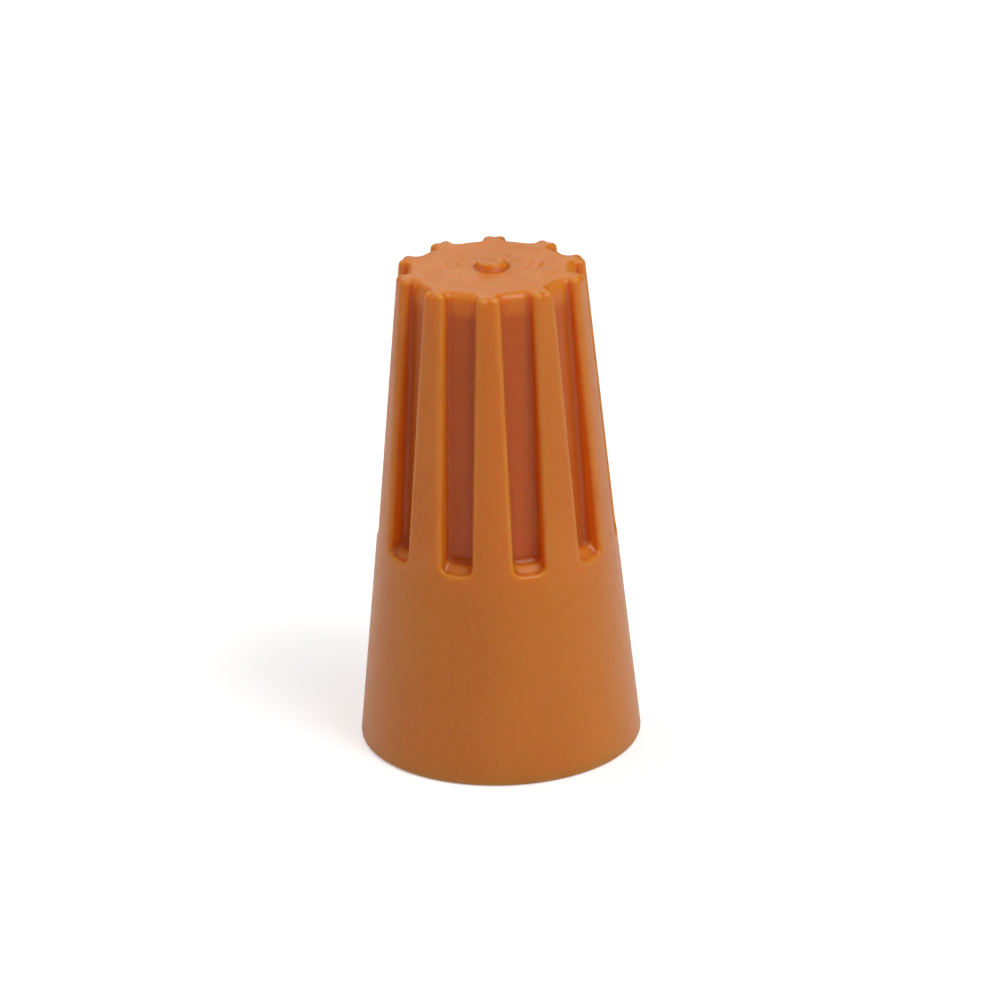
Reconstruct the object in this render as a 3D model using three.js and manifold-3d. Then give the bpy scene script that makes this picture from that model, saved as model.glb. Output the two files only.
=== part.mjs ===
// Twist wire connector: a tapered, ribbed plastic shell with a square-wire spring locked in its bore.
// Millimetres, +Z up. The origin is the centre of the mouth rim, on the plane that it stands on,
// and +Z runs along the axis to the closed end. A grip rib faces -Y.
import * as THREE from "three";
import { mergeVertices } from "three/addons/utils/BufferGeometryUtils.js";
import Module from "manifold-3d";

const wasm = await Module();
wasm.setup();

// Outside of the shell
const SHELL_LENGTH = 21.8; // mouth rim to the flat of the closed end
const RIM_RADIUS = 6.2;
const RIM_ROUND = 0.25; // outer edge of the rim
const BREAK_Z = 9.3; // the skin's taper eases here
const BREAK_RADIUS = 5.285;
const END_RADIUS = 4.19; // over the grip ribs
const END_ROUND = 0.3; // outer edge of the closed end
const AROUND = 80; // facets round the shell, a multiple of 4 and of the rib count

// Gate boss in the middle of the closed end
const BOSS_RADIUS = 0.72;
const BOSS_HEIGHT = 0.32;
const BOSS_ROUND = 0.1;

// Grip slots; what is left between them is the ribs
const RIB_COUNT = 10;
const SLOT_WIDTH = 1.5;
const SLOT_CORNER = 0.16; // round between the slot's floor, walls and ledge
const SLOT_LIP_Z = 9.45; // where the ledge meets the skin
const SLOT_LEDGE_RISE = 0.28; // the ledge climbs this much on its way in
const SLOT_FLOOR_LOW = 4.4; // floor radius at the ledge
const SLOT_FLOOR_HIGH = 3.55; // floor radius at the closed end
const SLOT_OVERSHOOT = 1; // how far a slot's cutter stands out of the shell

// Inside of the shell, from the mouth inwards
const MOUTH_RADIUS = 5.2;
const MOUTH_ROUND = 0.15;
const SKIRT_TOP_Z = 8.2;
const SKIRT_TOP_RADIUS = 4.35;
const POCKET_LOW_Z = 9.0;
const POCKET_LOW_RADIUS = 3.45;
const POCKET_HIGH_Z = 19.5;
const POCKET_HIGH_RADIUS = 2.75;
const PILOT_Z = 20.3; // blind end, past the spring
const PILOT_RADIUS = 1.9;

// Ridges along the pocket that lock the spring against turning
const RIDGE_COUNT = 5;
const RIDGE_HEIGHT = 0.2;
const RIDGE_WIDTH = 0.5;
const RIDGE_ROOT = 0.3; // how far a ridge is sunk in the wall

// Spring: square wire with one edge turned to the axis, wound right-handed
const WIRE_SIDE = 0.9;
const SPRING_LOW_Z = 9.72; // centre of the wire at the wide end
const SPRING_HIGH_Z = 18.72; // and at the narrow end
const SPRING_PITCH = 1.35;
const SPRING_PLAY = 0.04; // between the wire and the ridges
const STEPS_PER_TURN = 26;

const SHELL_COLOUR = 0xb5692c;
const STEEL_COLOUR = 0xb9bcbe;

/** The value at z on the straight line through (z0, v0) and (z1, v1). */
const along = (z, z0, v0, z1, v1) => v0 + ((v1 - v0) * (z - z0)) / (z1 - z0);

const pocketRadius = (z) =>
  along(z, POCKET_LOW_Z, POCKET_LOW_RADIUS, POCKET_HIGH_Z, POCKET_HIGH_RADIUS);

/** A closed geometry as a solid for joining and cutting. */
function toSolid(geometry) {
  const bare = geometry.clone();
  bare.deleteAttribute("normal");
  bare.deleteAttribute("uv");
  const merged = mergeVertices(bare, 1e-4);
  return new wasm.Manifold(
    new wasm.Mesh({
      numProp: 3,
      vertProperties: merged.attributes.position.array,
      triVerts: new Uint32Array(merged.index.array),
    }),
  );
}

/** A solid as a geometry with flat-shaded faces. */
function toGeometry(solid) {
  const mesh = solid.getMesh();
  const geometry = new THREE.BufferGeometry();
  geometry.setAttribute("position", new THREE.BufferAttribute(mesh.vertProperties, 3));
  geometry.setIndex(new THREE.BufferAttribute(mesh.triVerts, 1));
  const faceted = geometry.toNonIndexed();
  faceted.computeVertexNormals();
  return faceted;
}

/** An outline in radius and z, spun about the Z axis. */
function spin(outline, segments) {
  return new THREE.LatheGeometry(outline.getPoints(2), segments).rotateX(Math.PI / 2);
}

/** An outline in radius and z, given a width across the radial plane that faces -Y. */
function slab(outline, width, round) {
  return new THREE.ExtrudeGeometry(outline, {
    depth: width - 2 * round,
    steps: 1,
    curveSegments: 3,
    bevelEnabled: round > 0,
    bevelThickness: round,
    bevelSize: round,
    bevelOffset: -round,
    bevelSegments: 2,
  })
    .translate(0, 0, round - width / 2)
    .rotateX(Math.PI / 2)
    .rotateZ(-Math.PI / 2);
}

/** A copy of the solid at each of the given number of places round Z, turned by a part of one step. */
function ring(solid, count, phase) {
  const step = 360 / count;
  return Array.from({ length: count }, (_, i) => solid.rotate([0, 0, (i + phase) * step]));
}

/** The shell before its slots are cut: closed at the top, open at the mouth. */
function shellBlank() {
  const quarter = Math.PI / 2;
  const outline = new THREE.Path();
  outline.moveTo(0, PILOT_Z);
  outline.lineTo(PILOT_RADIUS, PILOT_Z);
  outline.lineTo(PILOT_RADIUS, POCKET_HIGH_Z);
  outline.lineTo(POCKET_HIGH_RADIUS, POCKET_HIGH_Z);
  outline.lineTo(POCKET_LOW_RADIUS, POCKET_LOW_Z);
  outline.lineTo(SKIRT_TOP_RADIUS, SKIRT_TOP_Z);
  outline.lineTo(MOUTH_RADIUS, MOUTH_ROUND);
  outline.absarc(MOUTH_RADIUS + MOUTH_ROUND, MOUTH_ROUND, MOUTH_ROUND, Math.PI, 3 * quarter, false);
  outline.absarc(RIM_RADIUS - RIM_ROUND, RIM_ROUND, RIM_ROUND, -quarter, 0, false);
  outline.lineTo(BREAK_RADIUS, BREAK_Z);
  outline.lineTo(END_RADIUS, SHELL_LENGTH - END_ROUND);
  outline.absarc(END_RADIUS - END_ROUND, SHELL_LENGTH - END_ROUND, END_ROUND, 0, quarter, false);
  outline.lineTo(BOSS_RADIUS, SHELL_LENGTH);
  const bossTop = SHELL_LENGTH + BOSS_HEIGHT;
  outline.absarc(BOSS_RADIUS - BOSS_ROUND, bossTop - BOSS_ROUND, BOSS_ROUND, 0, quarter, false);
  outline.lineTo(0, bossTop);
  return toSolid(spin(outline, AROUND));
}

/** What one grip slot takes away: floor, rounded corner, ledge, and a way out through the skin. */
function slotCutter() {
  const cornerZ = SLOT_LIP_Z + SLOT_LEDGE_RISE;
  const topZ = SHELL_LENGTH + SLOT_OVERSHOOT;
  const lipRadius = along(SLOT_LIP_Z, BREAK_Z, BREAK_RADIUS, SHELL_LENGTH - END_ROUND, END_RADIUS);
  const outerRadius = lipRadius + SLOT_OVERSHOOT;
  const floorRadius = (z) => along(z, cornerZ, SLOT_FLOOR_LOW, SHELL_LENGTH, SLOT_FLOOR_HIGH);
  const ledgeZ = (radius) => along(radius, SLOT_FLOOR_LOW, cornerZ, lipRadius, SLOT_LIP_Z);
  const outline = new THREE.Shape();
  outline.moveTo(outerRadius, topZ);
  outline.lineTo(floorRadius(topZ), topZ);
  outline.lineTo(floorRadius(cornerZ + SLOT_CORNER), cornerZ + SLOT_CORNER);
  const turnRadius = SLOT_FLOOR_LOW + SLOT_CORNER;
  outline.quadraticCurveTo(SLOT_FLOOR_LOW, cornerZ, turnRadius, ledgeZ(turnRadius));
  outline.lineTo(outerRadius, ledgeZ(outerRadius));
  outline.closePath();
  return toSolid(slab(outline, SLOT_WIDTH, SLOT_CORNER));
}

/** One of the ridges along the spring pocket. */
function lockingRidge() {
  const outline = new THREE.Shape();
  outline.moveTo(POCKET_LOW_RADIUS + RIDGE_ROOT, POCKET_LOW_Z);
  outline.lineTo(POCKET_HIGH_RADIUS + RIDGE_ROOT, POCKET_HIGH_Z);
  outline.lineTo(POCKET_HIGH_RADIUS - RIDGE_HEIGHT, POCKET_HIGH_Z);
  outline.lineTo(POCKET_LOW_RADIUS - RIDGE_HEIGHT, POCKET_LOW_Z);
  outline.closePath();
  return toSolid(slab(outline, RIDGE_WIDTH, 0));
}

function shellGeometry() {
  const ridges = ring(lockingRidge(), RIDGE_COUNT, 0);
  const slots = ring(slotCutter(), RIB_COUNT, 0.5);
  const withRidges = ridges.reduce((body, ridge) => body.add(ridge), shellBlank());
  return toGeometry(slots.reduce((body, slot) => body.subtract(slot), withRidges));
}

/** The centre line of the spring's wire: a helix that narrows with the pocket. */
class SpringLine extends THREE.Curve {
  constructor() {
    super();
    this.turns = (SPRING_HIGH_Z - SPRING_LOW_Z) / SPRING_PITCH;
    this.arcLengthDivisions = 1000;
  }

  getPoint(t, target = new THREE.Vector3()) {
    const z = THREE.MathUtils.lerp(SPRING_LOW_Z, SPRING_HIGH_Z, t);
    const halfDiagonal = WIRE_SIDE * Math.SQRT1_2;
    const radius = pocketRadius(z) - RIDGE_HEIGHT - SPRING_PLAY - halfDiagonal;
    const angle = 2 * Math.PI * this.turns * t - Math.PI / 2;
    return target.set(radius * Math.cos(angle), radius * Math.sin(angle), z);
  }

  /** Frames that keep one edge of the square wire turned to the axis all the way. */
  computeFrenetFrames(segments) {
    const tangents = [];
    const normals = [];
    const binormals = [];
    for (let i = 0; i <= segments; i++) {
      const u = i / segments;
      const tangent = this.getTangentAt(u);
      const normal = this.getPointAt(u).setZ(0);
      normal.addScaledVector(tangent, -normal.dot(tangent)).normalize();
      tangents.push(tangent);
      normals.push(normal);
      binormals.push(new THREE.Vector3().crossVectors(tangent, normal));
    }
    return { tangents, normals, binormals };
  }
}

function springGeometry() {
  const reach = WIRE_SIDE * Math.SQRT1_2;
  const section = new THREE.Shape([
    new THREE.Vector2(reach, 0),
    new THREE.Vector2(0, reach),
    new THREE.Vector2(-reach, 0),
    new THREE.Vector2(0, -reach),
  ]);
  const line = new SpringLine();
  const steps = Math.ceil(line.turns * STEPS_PER_TURN);
  return new THREE.ExtrudeGeometry(section, { extrudePath: line, steps });
}

const plastic = new THREE.MeshStandardMaterial({
  color: SHELL_COLOUR,
  roughness: 0.45,
  metalness: 0,
});
const steel = new THREE.MeshStandardMaterial({
  color: STEEL_COLOUR,
  roughness: 0.35,
  metalness: 1,
});

const shell = new THREE.Mesh(shellGeometry(), plastic);
shell.name = "shell";

const spring = new THREE.Mesh(springGeometry(), steel);
spring.name = "spring";

const group = new THREE.Group();
group.add(shell, spring);

export default group;
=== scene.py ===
"""Twist wire connector: an orange ribbed shell and the plated spring inside it, on a pale floor.

Shapes are worked out in millimetres in the part's own frame: the mouth rim stands on z = 0, +Z runs to the
closed end, a grip rib faces -Y. Angles round the axis are measured from -Y, towards +X.
"""
import math

import bpy
import numpy as np
from mathutils import Matrix, Vector, noise


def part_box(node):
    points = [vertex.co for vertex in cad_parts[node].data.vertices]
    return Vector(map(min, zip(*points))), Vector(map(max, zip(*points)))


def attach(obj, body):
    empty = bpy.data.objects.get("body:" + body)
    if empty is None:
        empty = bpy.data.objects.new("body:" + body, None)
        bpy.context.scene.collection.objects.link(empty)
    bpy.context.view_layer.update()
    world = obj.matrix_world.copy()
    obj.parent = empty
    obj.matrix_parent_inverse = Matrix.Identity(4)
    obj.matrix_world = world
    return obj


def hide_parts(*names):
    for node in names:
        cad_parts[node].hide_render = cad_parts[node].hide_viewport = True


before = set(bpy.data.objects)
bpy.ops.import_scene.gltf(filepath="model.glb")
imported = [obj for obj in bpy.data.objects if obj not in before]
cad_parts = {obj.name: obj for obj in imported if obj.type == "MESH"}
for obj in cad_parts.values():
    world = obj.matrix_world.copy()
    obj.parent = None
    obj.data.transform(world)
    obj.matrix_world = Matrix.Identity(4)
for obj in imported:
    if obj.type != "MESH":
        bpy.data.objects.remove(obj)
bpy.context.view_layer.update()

MM = 0.001
TURN = 2 * math.pi

# Outside of the shell; its radius at the rim and its height are those of the frame's shell
shell_high = [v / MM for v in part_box("shell")[1]]
BOSS_HEIGHT = 0.32
RIM_RADIUS = shell_high[0]
END_Z = shell_high[2] - BOSS_HEIGHT
RIM_ROUND = 0.25
BREAK_Z = 9.3  # the skin's taper eases here
BREAK_RADIUS = 5.285
END_RADIUS = 4.19
END_ROUND = 0.38  # at the middle of a rib
RIB_SIDE_END_ROUND = 0.24  # the same edge at the sides of a rib
SLOT_END_ROUND = 0.4  # and where the floor of a slot runs out of it

# Gate boss in the middle of the closed end, its top torn inside a rim
BOSS_RADIUS = 0.66
BOSS_DRAFT = 0.16  # how much its side leans in
BOSS_FOOT_ROUND = 0.1
BOSS_TOP_ROUND = 0.09
BOSS_TIP_RADIUS = 0.04  # the innermost ring of its top
TEAR_DEPTH = 0.035
TEAR_LEVEL = 0.6  # the share of that depth that the whole tear has, before its lumps
TEAR_LUMPS = 2.8  # to the millimetre
TEAR_RIM = 0.12
TEAR_SLOPE = 0.2  # the width over which the rim falls into the tear

# Relief on the closed end: shallow sink marks and plain raised bars on both sides of the boss
FLAT_RADIUS = 3.0
FLAT_RINGS = 3  # from the ribs' ends to that radius
SINK_DEPTH = 0.035
SINK_LUMPS = 1.1  # to the millimetre
RELIEF_EDGE_FADE = 0.5
RELIEF_BOSS_GAP = 0.05
RELIEF_BOSS_FADE = 0.3
MARK_RADIUS = 1.55
MARK_GAP = 0.5
MARK_BACK = 0.25
MARK_LENGTH = 0.6
MARK_WIDTH = 0.17  # from a bar's middle line to the foot of its soft edge
MARK_HEIGHT = 0.03
MARK_TILT = 0.25

# Grip slots
RIB_COUNT = 10
SLOT_WIDTH = 1.4
LIP_Z = 9.45
LEDGE_RISE = 0.28
LEDGE_Z = LIP_Z + LEDGE_RISE
FLOOR_LOW = 4.4
FLOOR_HIGH = 3.62
SIDE_DRAFT = 0.1  # a wall leans out this much of its height
RIB_EDGE_ROUND = (0.22, 0.36)  # at the slot's foot and at the closed end
LIP_ROUND_SHARE = 0.65  # the round of the lip over the ledge, as a share of the ribs' edges
CORNER_ROUND = (0.3, 0.16)  # how high the corner between wall and floor starts
CORNER_REACH = 0.3  # and how far it reaches across the floor
SLOT_FOOT_ROUND = 0.38  # lower corners of the slot's outline
FLOOR_SHADE_FADE = 1.2  # the height below the closed end over which the painted shade on the slots' floors fades out, so the floors are painted lighter there

# Inside of the shell
MOUTH_RADIUS = 5.2
MOUTH_ROUND = 0.15
SKIRT_TOP_Z = 8.2
SKIRT_TOP_RADIUS = 4.35
SKIRT_TOP_ROUND = 0.3
POCKET_LOW_Z = 9.0
POCKET_LOW_RADIUS = 3.45
POCKET_LOW_ROUND = 0.2
POCKET_HIGH_Z = 19.5
POCKET_HIGH_RADIUS = 2.75
POCKET_HIGH_ROUND = 0.12
PILOT_Z = 20.3  # the blind end, past the spring
PILOT_RADIUS = 1.9
PILOT_DRAFT = 0.05
PILOT_LOW_ROUND = 0.08
PILOT_HIGH_ROUND = 0.25
PILOT_TIP_RADIUS = 0.2  # the innermost ring of its roof

# Ridges along the pocket that lock the spring against turning
RIDGE_COUNT = 5
RIDGE_HEIGHT = 0.2
RIDGE_HALF_WIDTH = 0.25
RIDGE_FLANK = 0.14  # the width of its sloping sides
RIDGE_START = 0.05  # above the pocket's foot
RIDGE_LEAD_IN = 0.5
RIDGE_SHELF_REACH = 0.5  # how far it runs in along the shelf at the pocket's top
RIDGE_SHELF_FADE = 0.45

# Spring
WIRE_SIDE = 0.9
WIRE_ROUND = 0.09
WIRE_ROUND_STEPS = 2  # each way from the middle of a rounded edge
WIRE_END_SHRINK = 0.9  # its cut ends are dressed: a little smaller, and a little further out
WIRE_END_REACH = 0.03
WIRE_LENGTH = 90  # along the coil, roughly, for its drawn lines
SPRING_LOW_Z = 9.72
SPRING_HIGH_Z = 18.72
SPRING_PITCH = 1.35
SPRING_PLAY = 0.04
SPRING_STEPS = 480

# How finely the shell is divided
RIB_STEPS = 6  # rib centre to the start of its rounded edge
ROUND_STEPS = 5  # each rounded edge of a slot
WALL_STEPS = 4
SIDE_STEPS = 44  # along a slot
FOOT_STEPS = 3  # half a lower corner of a slot
LEDGE_STEPS = 6
SKIRT_STEPS = 34
SKIRT_SPREAD = 1.5  # its columns are evenly spread this many times sooner than at the rim
END_STEPS = 6
END_RING_STEP = 0.08  # on the closed end, in mm
INNER_RING_STEP = 0.3  # inside the shell, in mm
ARC_STEPS = 5  # each rounded corner of an outline
TINY = 1e-4  # the shortest run of an outline that counts, and the step for the coil's slope

PITCH = TURN / RIB_COUNT
BAND = 2 * ROUND_STEPS + WALL_STEPS  # steps down one wall of a slot
FLOOR_STEPS = 2 * FOOT_STEPS + LEDGE_STEPS
PITCH_STEPS = 2 * RIB_STEPS + 2 * BAND + FLOOR_STEPS
SIDE_ROWS = SIDE_STEPS + FOOT_STEPS
SKIRT_PITCH_STEPS = 2 * RIB_STEPS + FLOOR_STEPS

# Plastic
SKIN_COLOUR = (0.85, 0.26, 0.02, 1)
PALE_COLOUR = (0.9, 0.31, 0.04, 1)  # specks of pigment
FLOW_COLOUR = (0.8, 0.23, 0.016, 1)  # streaks left by the melt
FLOOR_SHADE_COLOUR = (0.74, 0.15, 0.011, 1)  # painted shade on the slots' floors: darker and redder than the skin
CORNER_SHADE_COLOUR = (0.7, 0.14, 0.01, 1)  # painted shade in the hollow corners
WORN_COLOUR = (0.9, 0.3, 0.035, 1)  # on the edges
PLASTIC_ROUGHNESS = (0.31, 0.4)
PLASTIC_SPECULAR = 0.42
PLASTIC_GLOW_DEPTH = 1.6  # how far light spreads under the skin, in mm
GLOW_COLOUR_REACH = (1.0, 0.35, 0.1)  # red spreads furthest

# Steel
PLATE_DARK = (0.42, 0.43, 0.45, 1)
PLATE_LIGHT = (0.64, 0.64, 0.62, 1)
RUBBED_COLOUR = (0.8, 0.8, 0.79, 1)
STEEL_ROUGHNESS = (0.31, 0.45)

WORN_ROUGHNESS_STEP = -0.03  # rubbed edges of both are a little smoother

# Lights round the part: azimuth from the front towards the right, elevation, power in watts, size in metres
SOFTBOXES = {
    "key": (50, 52, 0.6, 0.3),
    "lamp": (48, 62, 0.2, 0.07),
    "right": (100, 50, 0.08, 0.3),
    "left": (-90, 45, 0.32, 0.3),
    "back": (-160, 34, 0.27, 0.3),
    "top": (0, 89, 0.2, 0.3),
}
SOFTBOX_DISTANCE = 0.4

# The white surround's strength in the view, in glossy reflections, and on everything else
SKY_SEEN = 1.0
SKY_MIRRORED = 0.0
SKY_LIGHT = 0.03

# The paper floor: its grey, and the light that it adds in the view and in glossy reflections, like an
# overlit backdrop
FLOOR_HALF_SIDE = 3.0
FLOOR_GREY = 0.85
FLOOR_SEEN = 0.5
FLOOR_MIRRORED = 0.25


def mix(a, b, share):
    return a + (b - a) * share


def on_line(x, x0, y0, x1, y1):
    """The value at x on the straight line through (x0, y0) and (x1, y1)."""
    return mix(y0, y1, (x - x0) / (x1 - x0))


def smooth(share):
    share = min(max(share, 0.0), 1.0)
    return share * share * (3 - 2 * share)


def skin_radius(z):
    if z < BREAK_Z:
        return on_line(z, RIM_ROUND, RIM_RADIUS, BREAK_Z, BREAK_RADIUS)
    return on_line(z, BREAK_Z, BREAK_RADIUS, END_Z - END_ROUND, END_RADIUS)


def up_slot(sizes, z):
    """A size at a height of a slot, from its values at the slot's foot and at the closed end."""
    return mix(*sizes, (z - LIP_Z) / (END_Z - LIP_Z))


def floor_radius(z):
    return on_line(z, LEDGE_Z, FLOOR_LOW, END_Z, FLOOR_HIGH)


def wall_height(z):
    """The straight part of a slot's wall, between the rib's rounded edge and the corner over the floor."""
    rounds = up_slot(RIB_EDGE_ROUND, z) + up_slot(CORNER_ROUND, z)
    return skin_radius(z) - floor_radius(z) - rounds


def pocket_radius(z):
    return on_line(z, POCKET_LOW_Z, POCKET_LOW_RADIUS, POCKET_HIGH_Z, POCKET_HIGH_RADIUS)


def rounded_outline(corners, step):
    """Points along straight runs between (radius, z, round) corners, each corner turned with its round."""
    flat = [Vector((r, z)) for r, z, _ in corners]
    points = [flat[0]]
    for i in range(1, len(corners)):
        before = points[-1]
        here = flat[i]
        cut = corners[i][2] if i < len(corners) - 1 else 0
        inward = (flat[i - 1] - here).normalized()
        start = here + inward * cut
        run = (start - before).length
        if run > TINY:
            pieces = max(1, round(run / step))
            points += [before.lerp(start, n / pieces) for n in range(1, pieces + 1)]
        if cut:
            onward = (flat[i + 1] - here).normalized()
            end = here + onward * cut
            for n in range(1, ARC_STEPS + 1):
                s = n / ARC_STEPS
                points.append((1 - s) ** 2 * start + 2 * s * (1 - s) * here + s * s * end)
    return points


def set_values(mesh, name, values):
    """A number at every point of the mesh, for its material to read by name."""
    attribute = mesh.attributes.new(name, "FLOAT", "POINT")
    attribute.data.foreach_set("value", np.asarray(values, dtype=np.float32))


def convexity(mesh):
    """How sharply the surface bends outward at each point, in 1/mm. It is negative in a hollow."""
    count = len(mesh.vertices)
    places = np.empty(count * 3)
    normals = np.empty(count * 3)
    ends = np.empty(len(mesh.edges) * 2, dtype=int)
    mesh.vertices.foreach_get("co", places)
    mesh.vertex_normals.foreach_get("vector", normals)
    mesh.edges.foreach_get("vertices", ends)
    places = places.reshape(-1, 3) / MM
    normals = normals.reshape(-1, 3)
    a, b = ends.reshape(-1, 2).T
    gap = places[b] - places[a]
    bend = ((normals[b] - normals[a]) * gap).sum(1) / (gap * gap).sum(1)
    total = np.bincount(a, bend, count) + np.bincount(b, bend, count)
    shared = np.bincount(a, minlength=count) + np.bincount(b, minlength=count)
    return total / shared


class Skin:
    """The points, in millimetres, and the faces of one closed mesh."""

    def __init__(self):
        self.points = []
        self.faces = []
        self.values = {}  # numbers at the points, by name

    def add(self, points):
        first = len(self.points)
        self.points += points
        return list(range(first, len(self.points)))

    def bridge(self, before, after):
        """Quads between two rings. The chain of rings runs down the outside and up the inside."""
        count = len(before)
        for i in range(count):
            j = (i + 1) % count
            self.faces.append((before[i], after[i], after[j], before[j]))

    def chain(self, rings):
        for before, after in zip(rings, rings[1:]):
            self.bridge(before, after)

    def fan(self, ring, point, last):
        """Closes a ring on one point: the first point of the chain, or its last one."""
        (tip,) = self.add([point])
        count = len(ring)
        for i in range(count):
            j = (i + 1) % count
            self.faces.append((ring[i], tip, ring[j]) if last else (tip, ring[i], ring[j]))

    def to_object(self, name, material):
        mesh = bpy.data.meshes.new(name)
        mesh.from_pydata([tuple(c * MM for c in p) for p in self.points], [], self.faces)
        mesh.validate()
        mesh.shade_smooth()
        mesh.materials.append(material)
        set_values(mesh, "bend", convexity(mesh))
        for label, values in self.values.items():
            set_values(mesh, label, values)
        piece = bpy.data.objects.new(name, mesh)
        bpy.context.scene.collection.objects.link(piece)
        return piece


class Loop:
    """One of the U-shaped lines round a slot, from the skin outside it to the edge of its floor.

    edge: how far out and down the line lies on the ribs' rounded edge, as shares of that round.
    corner: how far in and up it lies in the rounded corner over the floor, as shares of that one.
    down: the share of the way down the wall.
    lean: the angle between the surface's outward direction and the slot's, 0 on the floor.
    """

    def __init__(self, edge=(0, 1), corner=(0, 1), down=0.0, lean=TURN / 4):
        self.edge = edge
        self.corner = corner
        self.down = down
        self.lean = lean
        out = self.out(LIP_Z)
        past_lip = edge[0] * RIB_EDGE_ROUND[0] * LIP_ROUND_SHARE
        climb = LEDGE_RISE * down + corner[0] * CORNER_ROUND[0]
        self.foot = LIP_Z - past_lip + climb
        self.round = SLOT_FOOT_ROUND + out

    def out(self, z):
        """How far the line lies outside the slot's side."""
        edge = self.edge[0] * up_slot(RIB_EDGE_ROUND, z)
        corner = self.corner[0] * CORNER_REACH
        return edge - corner - SIDE_DRAFT * wall_height(z) * self.down

    def depth(self, z, whole):
        """How far it lies under the skin, where the slot is that deep as a whole."""
        edge = up_slot(RIB_EDGE_ROUND, z)
        corner = up_slot(CORNER_ROUND, z)
        if self.down == 0:
            return self.edge[1] * edge
        return mix(edge, whole - corner, self.down) + (1 - self.corner[1]) * corner

    def half(self, z):
        return SLOT_WIDTH / 2 + self.out(z)

    def corner_point(self, angle):
        """A point of the rounded lower corner: 0 at the side, a quarter turn at the foot."""
        across = self.half(LIP_Z) - self.round * (1 - math.cos(angle))
        return across, self.foot + self.round * (1 - math.sin(angle))

    def side(self, row, top):
        """Distance from the slot's middle and height, at a row that starts from the given top."""
        if row <= SIDE_STEPS:
            z = mix(top, self.foot + self.round, row / SIDE_STEPS)
            last_quarter = smooth(row / SIDE_STEPS * 4 - 3)
            return mix(self.half(z), self.half(LIP_Z), last_quarter), z
        return self.corner_point(TURN / 8 * (row - SIDE_STEPS) / FOOT_STEPS)

    def foot_points(self):
        """From the middle of one lower corner, along the foot, to the middle of the other one."""
        corner = [self.corner_point(TURN / 8 * (1 + n / FOOT_STEPS)) for n in range(FOOT_STEPS + 1)]
        reach = corner[-1][0]
        run = [(reach * (1 - 2 * n / LEDGE_STEPS), self.foot) for n in range(1, LEDGE_STEPS)]
        half = corner + run
        mirrored = [(-across, z) for across, z in corner[::-1]]
        return [(-across, z) for across, z in half + mirrored]


def slot_loops():
    turns = [TURN / 4 * n / ROUND_STEPS for n in range(ROUND_STEPS + 1)]
    over_edge = [Loop(edge=(1 - math.sin(a), 1 - math.cos(a)), lean=a) for a in turns]
    down_wall = [Loop(down=n / WALL_STEPS) for n in range(1, WALL_STEPS)]
    corner = []
    for a in turns:
        lean = math.atan2(CORNER_ROUND[1] * math.cos(a), CORNER_REACH * math.sin(a))
        corner.append(Loop(corner=(1 - math.cos(a), 1 - math.sin(a)), down=1, lean=lean))
    return over_edge + down_wall + corner


LOOPS = slot_loops()


def in_slot(across, z, loop):
    """A point over the slot's middle plane: across it, out from the axis, and up."""
    skin = math.sqrt(skin_radius(z) ** 2 - across**2)
    floor = math.sqrt(floor_radius(z) ** 2 - across**2)
    return across, skin - loop.depth(z, skin - floor), z


def on_skin(angle, z):
    """The same for a point of the skin, at an angle from the slot's middle."""
    radius = skin_radius(z)
    return radius * math.sin(angle), radius * math.cos(angle), z


def rib_round(step):
    """The round of the closed end's edge, from a rib's middle to where its side edge starts."""
    return mix(END_ROUND, RIB_SIDE_END_ROUND, smooth(step / RIB_STEPS))


def band_round(step):
    """The same from there down the wall of a slot to its floor."""
    into_corner = (step - BAND + ROUND_STEPS) / ROUND_STEPS
    return mix(RIB_SIDE_END_ROUND, SLOT_END_ROUND, smooth(into_corner))


def pitch_rounds():
    """The round of the closed end's edge at each column of one pitch, rib centre to rib centre."""
    rib = [rib_round(n) for n in range(RIB_STEPS)]
    band = [band_round(n) for n in range(BAND)]
    return rib + band + [SLOT_END_ROUND] * (FLOOR_STEPS + 1) + band[::-1] + rib[:0:-1]


def outward(local, lean):
    """The direction straight out of the surface, level, at a point of a slot's frame."""
    across, out, _ = local
    sideways = math.copysign(math.sin(lean), across)
    return Vector((across / out * math.cos(lean) - sideways, math.cos(lean), 0)).normalized()


def pitch_directions(row_points):
    """The same at each column of one pitch of the top row."""
    band = [loop.lean for loop in LOOPS[:-1]]
    leans = [0] * RIB_STEPS + band + [0] * (FLOOR_STEPS + 1) + band[::-1] + [0] * (RIB_STEPS - 1)
    return [outward(point, lean) for point, lean in zip(row_points, leans)]


def slot_row(row):
    """One pitch of a row that crosses the slot, from a rib's centre to just before the next one's."""
    outer, inner = LOOPS[0], LOOPS[-1]
    start_across, _ = outer.side(row, END_Z)
    rib = []
    for n in range(RIB_STEPS):
        _, z = outer.side(row, END_Z - rib_round(n))
        edge = math.asin(start_across / skin_radius(z))
        rib.append((mix(PITCH / 2, edge, n / RIB_STEPS), z))
    band = []
    for n, loop in enumerate(LOOPS[:-1]):
        across, z = loop.side(row, END_Z - band_round(n))
        band.append(in_slot(across, z, loop))
    reach, side_z = inner.side(row, END_Z - SLOT_END_ROUND)
    foot = inner.foot_points()
    corner_reach, corner_z = inner.side(SIDE_ROWS, END_Z)
    near_foot = max(0, row - SIDE_STEPS) / FOOT_STEPS
    floor = []
    for across, z in foot:
        level = side_z - near_foot * (corner_z - z)
        floor.append(in_slot(across / corner_reach * reach, level, inner))
    left_rib = [on_skin(-angle, z) for angle, z in rib]
    left_band = [(-across, out, z) for across, out, z in band]
    right_rib = [on_skin(angle, z) for angle, z in rib[:0:-1]]
    return left_rib + left_band + floor + band[::-1] + right_rib


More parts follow.
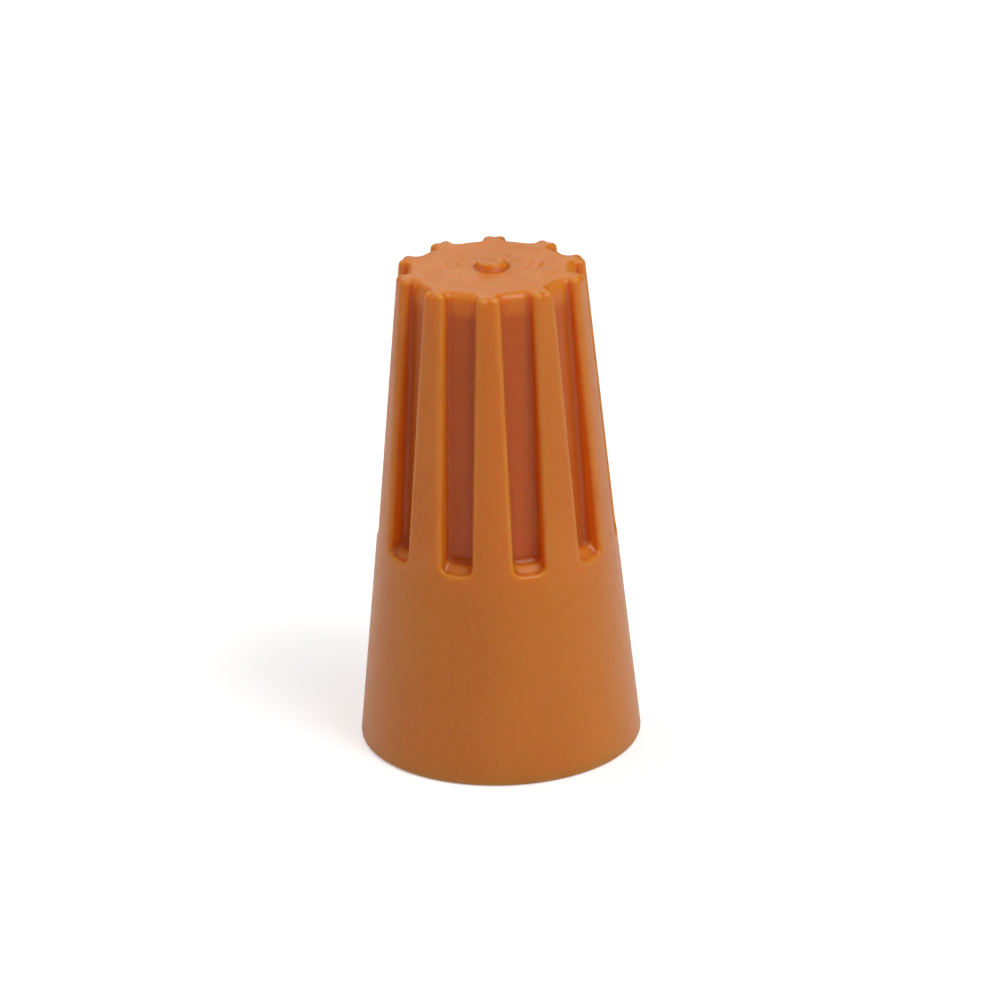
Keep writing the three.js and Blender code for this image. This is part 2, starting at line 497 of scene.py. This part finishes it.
def place(local, slot):
    """A point of the given slot's own frame in the part's frame."""
    across, out, z = local
    angle = (slot + 0.5) * PITCH
    x = out * math.sin(angle) + across * math.cos(angle)
    y = -out * math.cos(angle) + across * math.sin(angle)
    return Vector((x, y, z))


def all_round(pitch_points):
    return [place(p, slot) for slot in range(RIB_COUNT) for p in pitch_points]


def polar(radius, angle, z):
    return Vector((radius * math.sin(angle), -radius * math.cos(angle), z))


def angle_of(point):
    return math.atan2(point.x, -point.y) % TURN


def end_edge_rings(skin, first_row, directions, rounds):
    """The rounded edge of the closed end, from the flat of the end down to the first row of the sides."""
    rings = []
    for n in range(END_STEPS, 0, -1):
        angle = TURN / 4 * n / END_STEPS
        ring = []
        for point, direction, size in zip(first_row, directions, rounds):
            moved = point - direction * size * (1 - math.cos(angle))
            moved.z = END_Z - size * (1 - math.sin(angle))
            ring.append(moved)
        rings.append(skin.add(ring))
    return rings


def between(a, b, steps):
    return [a.lerp(b, n / steps) for n in range(1, steps)]


def rib_tops(skin, edge):
    """The flat ends of the ribs, each a patch between the walls of two slots. Returns the ring inside."""
    count = len(edge)
    core = []
    for rib in range(RIB_COUNT):
        base = rib * PITCH_STEPS
        crest = [edge[(base + n) % count] for n in range(-RIB_STEPS, RIB_STEPS + 1)]
        left = [edge[(base - RIB_STEPS - k) % count] for k in range(BAND + 1)]
        right = [edge[base + RIB_STEPS + k] for k in range(BAND + 1)]
        ends = [(skin.points[i], skin.points[j]) for i, j in zip(left, right)]
        inward = [((a + b) / 2 - sum(ends[0], Vector()) / 2).length for a, b in ends]
        chord = between(*ends[0], 2 * RIB_STEPS)
        bulge = [skin.points[i] - p for i, p in zip(crest[1:-1], chord)]
        rows = [crest]
        for k in range(1, BAND + 1):
            fade = 1 - inward[k] / inward[BAND]
            inner = [p + d * fade for p, d in zip(between(*ends[k], 2 * RIB_STEPS), bulge)]
            rows.append([left[k]] + skin.add(inner) + [right[k]])
        for outer, inner in zip(rows, rows[1:]):
            for n in range(2 * RIB_STEPS):
                skin.faces.append((outer[n], outer[n + 1], inner[n + 1], inner[n]))
        core.append(rows[-1])
    ring = []
    for rib in range(RIB_COUNT):
        floor_start = rib * PITCH_STEPS + RIB_STEPS + BAND
        ring += core[rib][RIB_STEPS:-1]
        ring += edge[floor_start : floor_start + FLOOR_STEPS]
        ring += core[(rib + 1) % RIB_COUNT][:RIB_STEPS]
    return ring


def raised_bar(x, y, middle, tilt):
    """A short raised bar of a mould mark: 1 on it, 0 away from it, with soft edges."""
    dx = x - middle[0]
    dy = y - middle[1]
    along = dx * math.sin(tilt) + dy * math.cos(tilt)
    across = dx * math.cos(tilt) - dy * math.sin(tilt)
    off = math.hypot(across, max(0.0, abs(along) - MARK_LENGTH / 2))
    return smooth((MARK_WIDTH - off) / MARK_WIDTH)


def end_relief(point):
    """How far the closed end stands off its plane: faint sink marks, and four plain raised bars."""
    radius = math.hypot(point.x, point.y)
    sink = SINK_DEPTH * noise.noise(Vector((point.x, point.y, 0)) * SINK_LUMPS)
    bars = 0.0
    for side in (-1, 1):
        for offset in (MARK_RADIUS, MARK_RADIUS + MARK_GAP):
            bar = raised_bar(point.x, point.y, (side * offset, MARK_BACK), side * MARK_TILT)
            bars = max(bars, bar)
    at_edge = smooth((FLAT_RADIUS - radius) / RELIEF_EDGE_FADE)
    at_boss = smooth((radius - BOSS_RADIUS - RELIEF_BOSS_GAP) / RELIEF_BOSS_FADE)
    return (sink + MARK_HEIGHT * bars) * at_edge * at_boss


def torn_gate(point):
    """How far the gate's torn top lies under its rim."""
    inside = smooth((BOSS_RADIUS - TEAR_RIM - math.hypot(point.x, point.y)) / TEAR_SLOPE)
    lumps = noise.noise(Vector((point.x, point.y, 0)) * TEAR_LUMPS)
    return inside * TEAR_DEPTH * (TEAR_LEVEL + lumps)


def closed_end(skin, edge):
    """The flat of the closed end and the gate boss in its middle, joined to the end's edge."""
    core = rib_tops(skin, edge)
    core_points = [skin.points[i] for i in core]
    angles = [angle_of(p) for p in core_points]
    rings = [core]
    for n in range(1, FLAT_RINGS + 1):
        ring = []
        for point, angle in zip(core_points, angles):
            ring.append(point.lerp(polar(FLAT_RADIUS, angle, END_Z), n / FLAT_RINGS))
        rings.append(skin.add(ring))
    top = END_Z + BOSS_HEIGHT
    profile = rounded_outline(
        [
            (FLAT_RADIUS, END_Z, 0),
            (BOSS_RADIUS + BOSS_DRAFT / 2, END_Z, BOSS_FOOT_ROUND),
            (BOSS_RADIUS - BOSS_DRAFT / 2, top, BOSS_TOP_ROUND),
            (BOSS_TIP_RADIUS, top, 0),
        ],
        step=END_RING_STEP,
    )
    for radius, z in profile[1:]:
        ring = [polar(radius, angle, z) for angle in angles]
        for point in ring:
            point.z += end_relief(point) - torn_gate(point)
        rings.append(skin.add(ring))
    skin.chain(rings[::-1])
    tip = Vector((0, 0, top))
    tip.z -= torn_gate(tip)
    skin.fan(rings[-1], tip, last=False)


def slot_feet(skin, last_row):
    """The ledge at the foot of each slot. Returns the ring that the skirt hangs from."""
    count = len(last_row)
    ring = []
    for slot in range(RIB_COUNT):
        base = slot * PITCH_STEPS
        left = [last_row[base + RIB_STEPS + k] for k in range(BAND + 1)]
        floor = last_row[base + RIB_STEPS + BAND : base + RIB_STEPS + BAND + FLOOR_STEPS + 1]
        right_start = base + RIB_STEPS + 2 * BAND + FLOOR_STEPS
        right = [last_row[right_start - k] for k in range(BAND + 1)]
        rows = [floor]
        for k in range(BAND - 1, -1, -1):
            loop = LOOPS[k]
            foot = loop.foot_points()[1:-1]
            inside = [place(in_slot(across, z, loop), slot) for across, z in foot]
            rows.append([left[k]] + skin.add(inside) + [right[k]])
        for before, after in zip(rows, rows[1:]):
            for n in range(FLOOR_STEPS):
                skin.faces.append((before[n], after[n], after[n + 1], before[n + 1]))
        ring += last_row[base : base + RIB_STEPS]
        ring += rows[-1]
        ring += [last_row[(right_start + n) % count] for n in range(1, RIB_STEPS)]
    return ring


def skirt_rings(skin, top_ring):
    """The smooth cone below the slots, whose columns spread out evenly on the way down."""
    points = [skin.points[i] for i in top_ring]
    count = len(points)
    rings = [top_ring]
    for row in range(1, SKIRT_STEPS + 1):
        share = row / SKIRT_STEPS
        ring = []
        for i, point in enumerate(points):
            even = TURN * i / count
            start = angle_of(point) if i else 0.0
            angle = mix(start, even, smooth(share * SKIRT_SPREAD))
            z = mix(point.z, RIM_ROUND, share)
            ring.append(polar(skin_radius(z), angle, z))
        rings.append(skin.add(ring))
    return rings


def ridge(angle, z, radius):
    """How far the pocket's wall stands in over a locking ridge. It fades along the shelf at the top."""
    step = TURN / RIDGE_COUNT
    off = abs((angle + step / 2) % step - step / 2) * radius
    across = smooth((RIDGE_HALF_WIDTH + RIDGE_FLANK / 2 - off) / RIDGE_FLANK)
    along = smooth((z - POCKET_LOW_Z - RIDGE_START) / RIDGE_LEAD_IN)
    on_wall = smooth((radius - POCKET_HIGH_RADIUS + RIDGE_SHELF_REACH) / RIDGE_SHELF_FADE)
    return RIDGE_HEIGHT * across * along * on_wall


def inner_rings(skin, count):
    """From the rim, over the mouth's edge, up the skirt, through the funnel and the spring pocket."""
    profile = rounded_outline(
        [
            (RIM_RADIUS, RIM_ROUND, 0),
            (RIM_RADIUS, 0, RIM_ROUND),
            (MOUTH_RADIUS, 0, MOUTH_ROUND),
            (SKIRT_TOP_RADIUS, SKIRT_TOP_Z, SKIRT_TOP_ROUND),
            (POCKET_LOW_RADIUS, POCKET_LOW_Z, POCKET_LOW_ROUND),
            (POCKET_HIGH_RADIUS, POCKET_HIGH_Z, POCKET_HIGH_ROUND),
            (PILOT_RADIUS, POCKET_HIGH_Z, PILOT_LOW_ROUND),
            (PILOT_RADIUS - PILOT_DRAFT, PILOT_Z, PILOT_HIGH_ROUND),
            (PILOT_TIP_RADIUS, PILOT_Z, 0),
        ],
        step=INNER_RING_STEP,
    )
    rings = []
    for radius, z in profile[1:]:
        in_pocket = POCKET_LOW_Z <= z <= POCKET_HIGH_Z
        ring = []
        for i in range(count):
            angle = TURN * i / count
            inset = ridge(angle, z, radius) if in_pocket else 0
            ring.append(polar(radius - inset, angle, z))
        rings.append(skin.add(ring))
    return rings


def floor_shade_mask(point):
    """How far a point lies into a slot, as the mask of the painted shade on the floors: 0 on the skin, 1 on
    the floor. The painted shade fades out towards the closed end.
    """
    under_skin = skin_radius(point.z) - point.xy.length
    whole = skin_radius(point.z) - floor_radius(point.z)
    return min(under_skin / whole, (END_Z - point.z) / FLOOR_SHADE_FADE)


def make_shell(material):
    skin = Skin()
    rows = [all_round(slot_row(n)) for n in range(SIDE_ROWS + 1)]
    directions = all_round(pitch_directions(slot_row(0)))
    edge = end_edge_rings(skin, rows[0], directions, pitch_rounds() * RIB_COUNT)
    sides = [skin.add(row) for row in rows]
    closed_end(skin, edge[0])
    skin.chain(edge + sides)
    skirt = skirt_rings(skin, slot_feet(skin, sides[-1]))
    inside = inner_rings(skin, SKIRT_PITCH_STEPS * RIB_COUNT)
    skin.chain(skirt + inside)
    skin.fan(inside[-1], Vector((0, 0, PILOT_Z)), last=True)
    skin.values["sunk"] = [floor_shade_mask(p) for p in skin.points]
    return skin.to_object("shell_moulding", material)


def wire_section():
    """The square wire's rounded outline, one edge turned to the axis: (outward, along the axis)."""
    reach = WIRE_SIDE * math.sqrt(0.5)
    points = []
    for corner in range(4):
        towards = TURN / 4 * corner
        centre = (reach - WIRE_ROUND * math.sqrt(2)) * Vector((math.cos(towards), math.sin(towards)))
        for n in range(-WIRE_ROUND_STEPS, WIRE_ROUND_STEPS + 1):
            angle = towards + TURN / 8 * n / WIRE_ROUND_STEPS
            points.append(centre + WIRE_ROUND * Vector((math.cos(angle), math.sin(angle))))
    return points


def spring_centre(share):
    z = mix(SPRING_LOW_Z, SPRING_HIGH_Z, share)
    reach = WIRE_SIDE * math.sqrt(0.5)
    radius = pocket_radius(z) - RIDGE_HEIGHT - SPRING_PLAY - reach
    angle = TURN * (SPRING_HIGH_Z - SPRING_LOW_Z) / SPRING_PITCH * share
    return polar(radius, angle, z)


def spring_axes(share):
    """The directions along the wire, away from the part's axis, and square to both."""
    onward = (spring_centre(share + TINY) - spring_centre(share - TINY)).normalized()
    centre = spring_centre(share)
    away = Vector((centre.x, centre.y, 0))
    away = (away - onward * away.dot(onward)).normalized()
    return onward, away, onward.cross(away)


def make_spring(material):
    skin = Skin()
    section = wire_section()
    rings = []
    for n in range(SPRING_STEPS + 1):
        share = n / SPRING_STEPS
        centre = spring_centre(share)
        onward, away, upward = spring_axes(share)
        at_end = n in (0, SPRING_STEPS)
        shrink = WIRE_END_SHRINK if at_end else 1
        ring = [centre + (p.x * away + p.y * upward) * shrink for p in section]
        if at_end:
            nudge = onward * (WIRE_END_REACH if n else -WIRE_END_REACH)
            ring = [p + nudge for p in ring]
        rings.append(skin.add(ring))
    skin.chain(rings)
    tips = [sum((skin.points[i] for i in rings[n]), Vector()) / len(section) for n in (0, -1)]
    skin.fan(rings[0], tips[0], last=False)
    skin.fan(rings[-1], tips[1], last=True)
    along = []
    around = []
    for n in range(SPRING_STEPS + 1):
        along += [n * WIRE_LENGTH / SPRING_STEPS] * len(section)
        around += [4 * WIRE_SIDE * k / len(section) for k in range(len(section))]
    skin.values["along"] = along + [0, WIRE_LENGTH]
    skin.values["around"] = around + [0, 0]
    return skin.to_object("spring_coil", material)


class Surface:
    """The node tree of one material, with short ways to add the nodes that the materials share."""

    def __init__(self, name):
        self.material = bpy.data.materials.new(name)
        self.material.use_nodes = True
        self.nodes = self.material.node_tree.nodes
        self.links = self.material.node_tree.links
        self.shader = self.nodes["Principled BSDF"]
        self.place = self.nodes.new("ShaderNodeTexCoord").outputs["Object"]

    def add(self, kind, inputs, **settings):
        """A node with its settings, and its inputs set to values or linked to other nodes' outputs."""
        node = self.nodes.new(kind)
        for name, value in settings.items():
            setattr(node, name, value)
        for name, value in inputs.items():
            self.feed(node, name, value)
        return node

    def feed(self, node, name, value):
        if isinstance(value, bpy.types.NodeSocket):
            self.links.new(value, node.inputs[name])
        else:
            node.inputs[name].default_value = value

    def finish(self, inputs):
        for name, value in inputs.items():
            self.feed(self.shader, name, value)
        return self.material

    def attribute(self, name):
        return self.add("ShaderNodeAttribute", {}, attribute_name=name).outputs["Fac"]

    def cloud(self, lumps, stretch=(1, 1, 1), detail=2.0, where=None):
        """Noise between about 0.3 and 0.7, with so many lumps to the metre, or to the unit of where."""
        factors = {0: where or self.place, 1: stretch}
        vector = self.add("ShaderNodeVectorMath", factors, operation="MULTIPLY").outputs["Vector"]
        inputs = {"Vector": vector, "Scale": lumps, "Detail": detail}
        return self.add("ShaderNodeTexNoise", inputs).outputs["Fac"]

    def ramp(self, value, start, end, low=0.0, high=1.0):
        """From low to high, smoothly, as the value goes from start to end."""
        inputs = {"Value": value, "From Min": start, "From Max": end, "To Min": low, "To Max": high}
        return self.add("ShaderNodeMapRange", inputs, interpolation_type="SMOOTHSTEP").outputs["Result"]

    def times(self, a, b):
        return self.add("ShaderNodeMath", {0: a, 1: b}, operation="MULTIPLY").outputs["Value"]

    def plus(self, a, b):
        return self.add("ShaderNodeMath", {0: a, 1: b}, operation="ADD").outputs["Value"]

    def blend(self, share, a, b):
        """The colour a where the share is 0, and b where it is 1."""
        node = self.add("ShaderNodeMix", {0: share, 6: a, 7: b}, data_type="RGBA")
        return node.outputs[2]

    def bump(self, height, millimetres, under=None):
        """The surface raised by a height between 0 and 1, times so many millimetres."""
        inputs = {"Height": height, "Distance": millimetres * MM}
        if under:
            inputs["Normal"] = under
        return self.add("ShaderNodeBump", inputs).outputs["Normal"]


def plastic_material():
    """Orange moulded thermoplastic: satin, a little translucent, paler and smoother on its worn edges, with
    shade painted on the slots' floors and in the hollow corners.
    """
    look = Surface("orange_plastic")
    bend = look.attribute("bend")
    sunk = look.attribute("sunk")
    flow = look.cloud(lumps=260, stretch=(1, 1, 0.4), detail=3)
    pigment = look.cloud(lumps=5000, detail=3)
    scuff = look.cloud(lumps=900, stretch=(1, 1, 0.6), detail=5)

    colour = look.blend(look.ramp(flow, 0.35, 0.65), FLOW_COLOUR, SKIN_COLOUR)
    colour = look.blend(look.ramp(pigment, 0.3, 0.7, high=0.3), colour, PALE_COLOUR)
    # Painted shade: the slots' floors darker and redder, fading out near the closed end
    colour = look.blend(look.ramp(sunk, 0.55, 1.0), colour, FLOOR_SHADE_COLOUR)
    # Painted shade: darker, redder lines in the hollow corners between the slots' walls and floors
    colour = look.blend(look.ramp(bend, -0.1, -1.6, high=0.6), colour, CORNER_SHADE_COLOUR)
    worn = look.times(look.ramp(bend, 0.5, 2.0, high=0.7), look.ramp(scuff, 0.3, 0.65, low=0.3))
    colour = look.blend(worn, colour, WORN_COLOUR)

    cloudy = look.cloud(lumps=1500, detail=4)
    roughness = look.ramp(cloudy, 0.3, 0.7, *PLASTIC_ROUGHNESS)
    roughness = look.plus(roughness, look.times(worn, WORN_ROUGHNESS_STEP))

    waves = look.cloud(lumps=1400, detail=1)
    grain = look.cloud(lumps=9000, detail=2)
    draw_lines = look.cloud(lumps=3000, stretch=(1, 1, 0.08), detail=2)
    normal = look.bump(waves, millimetres=0.012)
    normal = look.bump(grain, millimetres=0.0035, under=normal)
    normal = look.bump(draw_lines, millimetres=0.003, under=normal)
    return look.finish(
        {
            "Base Color": colour,
            "Roughness": roughness,
            "Normal": normal,
            "IOR": 1.5,
            "Specular IOR Level": PLASTIC_SPECULAR,
            "Subsurface Weight": 1.0,
            "Subsurface Radius": GLOW_COLOUR_REACH,
            "Subsurface Scale": PLASTIC_GLOW_DEPTH * MM,
        }
    )


def steel_material():
    """Zinc-plated spring steel: drawn lines along the wire, a mottled plate, edges rubbed bright."""
    look = Surface("zinc_plated_steel")
    on_wire = {"X": look.attribute("around"), "Y": look.attribute("along")}
    wire = look.add("ShaderNodeCombineXYZ", on_wire).outputs["Vector"]
    drawn = look.cloud(lumps=7, stretch=(1, 0.05, 1), detail=3, where=wire)
    plate = look.cloud(lumps=700, detail=4)
    rubbed = look.ramp(look.attribute("bend"), 1.5, 4.0)
    colour = look.blend(look.ramp(plate, 0.35, 0.7), PLATE_DARK, PLATE_LIGHT)
    colour = look.blend(look.times(rubbed, 0.7), colour, RUBBED_COLOUR)
    roughness = look.ramp(plate, 0.3, 0.7, *STEEL_ROUGHNESS)
    roughness = look.plus(roughness, look.times(rubbed, WORN_ROUGHNESS_STEP))
    grain = look.cloud(lumps=6000, detail=2)
    normal = look.bump(drawn, millimetres=0.012)
    normal = look.bump(grain, millimetres=0.003, under=normal)
    return look.finish({"Base Color": colour, "Metallic": 1.0, "Roughness": roughness, "Normal": normal})


def make_camera():
    """The view of a long lens from a little above, turned a few degrees round the part."""
    elevation = math.radians(22.06)
    azimuth = math.radians(2.4)
    roll = math.radians(1.25)
    distance = 252.03
    aim_right = 0.165
    aim_up = 10.159
    right = Vector((math.cos(azimuth), math.sin(azimuth), 0))
    back = Vector(
        (
            math.sin(azimuth) * math.cos(elevation),
            -math.cos(azimuth) * math.cos(elevation),
            math.sin(elevation),
        )
    )
    up = back.cross(right)
    place_at = (right * aim_right + up * aim_up + back * distance) * MM
    cam_right = math.cos(roll) * right - math.sin(roll) * up
    cam_up = math.sin(roll) * right + math.cos(roll) * up
    data = bpy.data.cameras.new("camera")
    data.lens = 203.9
    data.sensor_width = 36
    data.clip_start = 0.01
    data.clip_end = 20
    camera = bpy.data.objects.new("camera", data)
    turned = Matrix((cam_right, cam_up, back)).transposed().to_4x4()
    camera.matrix_world = Matrix.Translation(place_at) @ turned
    bpy.context.scene.collection.objects.link(camera)
    bpy.context.scene.camera = camera


def softbox(name, azimuth, elevation, power, size):
    """A square light at an angle round the part, facing it."""
    level = Matrix.Rotation(math.radians(azimuth), 3, "Z") @ Vector((0, -1, 0))
    flat = math.cos(math.radians(elevation))
    towards = Vector((level.x * flat, level.y * flat, math.sin(math.radians(elevation))))
    data = bpy.data.lights.new(name, "AREA")
    data.size = size
    data.energy = power
    light = bpy.data.objects.new(name, data)
    light.location = towards * SOFTBOX_DISTANCE
    light.rotation_euler = towards.to_track_quat("Z", "Y").to_euler()
    bpy.context.scene.collection.objects.link(light)


def rays_share(tree, others, mirrored, seen):
    """One strength for rays in the view, one for rays off a glossy surface, and one for the others."""
    rays = tree.nodes.new("ShaderNodeLightPath")
    off_gloss = tree.nodes.new("ShaderNodeMix")
    tree.links.new(rays.outputs["Is Glossy Ray"], off_gloss.inputs[0])
    off_gloss.inputs[2].default_value = others
    off_gloss.inputs[3].default_value = mirrored
    in_view = tree.nodes.new("ShaderNodeMix")
    tree.links.new(rays.outputs["Is Camera Ray"], in_view.inputs[0])
    tree.links.new(off_gloss.outputs[0], in_view.inputs[2])
    in_view.inputs[3].default_value = seen
    return in_view.outputs[0]


def make_floor():
    mesh = bpy.data.meshes.new("floor")
    half = FLOOR_HALF_SIDE
    corners = [(-half, -half, 0), (half, -half, 0), (half, half, 0), (-half, half, 0)]
    mesh.from_pydata(corners, [], [(0, 1, 2, 3)])
    floor = bpy.data.objects.new("floor", mesh)
    bpy.context.scene.collection.objects.link(floor)
    paper = Surface("floor_paper")
    glow = rays_share(paper.material.node_tree, others=0.0, mirrored=FLOOR_MIRRORED, seen=FLOOR_SEEN)
    paper.finish(
        {
            "Base Color": (FLOOR_GREY, FLOOR_GREY, FLOOR_GREY, 1),
            "Roughness": 0.9,
            "Emission Color": (1, 1, 1, 1),
            "Emission Strength": glow,
        }
    )
    mesh.materials.append(paper.material)


def make_studio():
    """A pale floor, soft lights all round, and a white surround that the far horizon fades into."""
    make_floor()
    for name, settings in SOFTBOXES.items():
        softbox(name, *settings)
    world = bpy.data.worlds.new("studio")
    bpy.context.scene.world = world
    world.use_nodes = True
    tree = world.node_tree
    background = tree.nodes["Background"]
    background.inputs["Color"].default_value = (1, 1, 1, 1)
    strength = rays_share(tree, others=SKY_LIGHT, mirrored=SKY_MIRRORED, seen=SKY_SEEN)
    tree.links.new(strength, background.inputs["Strength"])
    bpy.context.scene.view_settings.view_transform = "Standard"


make_camera()
make_studio()

shell = make_shell(plastic_material())
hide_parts("shell")
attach(shell, "root")

spring = make_spring(steel_material())
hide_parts("spring")
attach(spring, "root")
